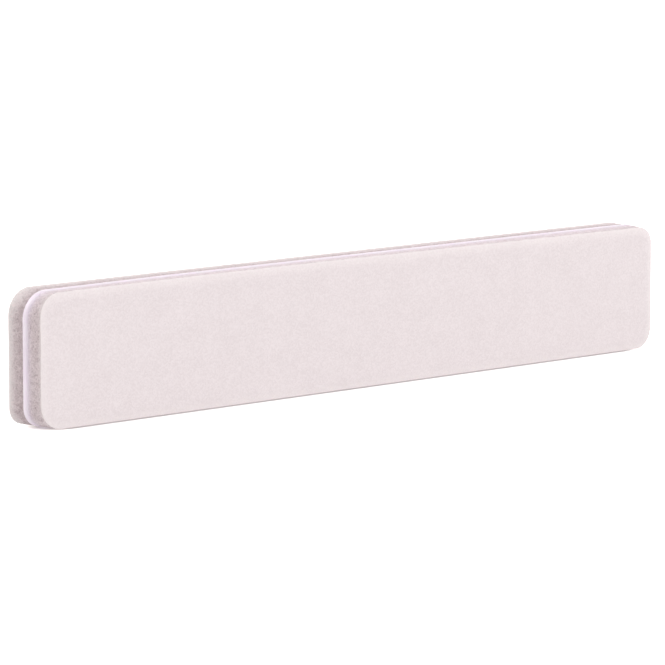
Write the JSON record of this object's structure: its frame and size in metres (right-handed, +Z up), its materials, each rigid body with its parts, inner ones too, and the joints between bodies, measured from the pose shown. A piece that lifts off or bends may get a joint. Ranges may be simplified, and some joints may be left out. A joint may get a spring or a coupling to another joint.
{
  "type": "nail buffer sponge",
  "caption": "Straight hand-held nail buffer with round corners: a stiff plastic core between two foam pads, each faced with fine abrasive paper for smoothing nails.",
  "frame": {"origin": "on the surface that the buffer stands on, under the middle of its lower long edge", "axes": "+X along the buffer's length, +Y through its thickness from the front face to the rear face, +Z up across its width"},
  "size_m": [0.178, 0.0112, 0.0279],
  "materials": {
    "core_plastic": "satin die-cut polystyrene board, pale lilac white",
    "foam": "matt cut closed-cell foam, warm mauve grey",
    "adhesive": "clear acrylic adhesive film, faintly yellow",
    "backing_paper": "latex-treated abrasive backing paper, warm white",
    "abrasive_grit": "very fine white mineral grit in resin, pale pinkish white"
  },
  "bodies": {
    "root": {"core_board": "core_plastic", "front_core_adhesive": "adhesive", "front_foam_pad": "foam", "front_face_adhesive": "adhesive", "front_abrasive_backing": "backing_paper", "front_grit_coat": "abrasive_grit", "rear_core_adhesive": "adhesive", "rear_foam_pad": "foam", "rear_face_adhesive": "adhesive", "rear_abrasive_backing": "backing_paper", "rear_grit_coat": "abrasive_grit"}
  },
  "joints": []
}
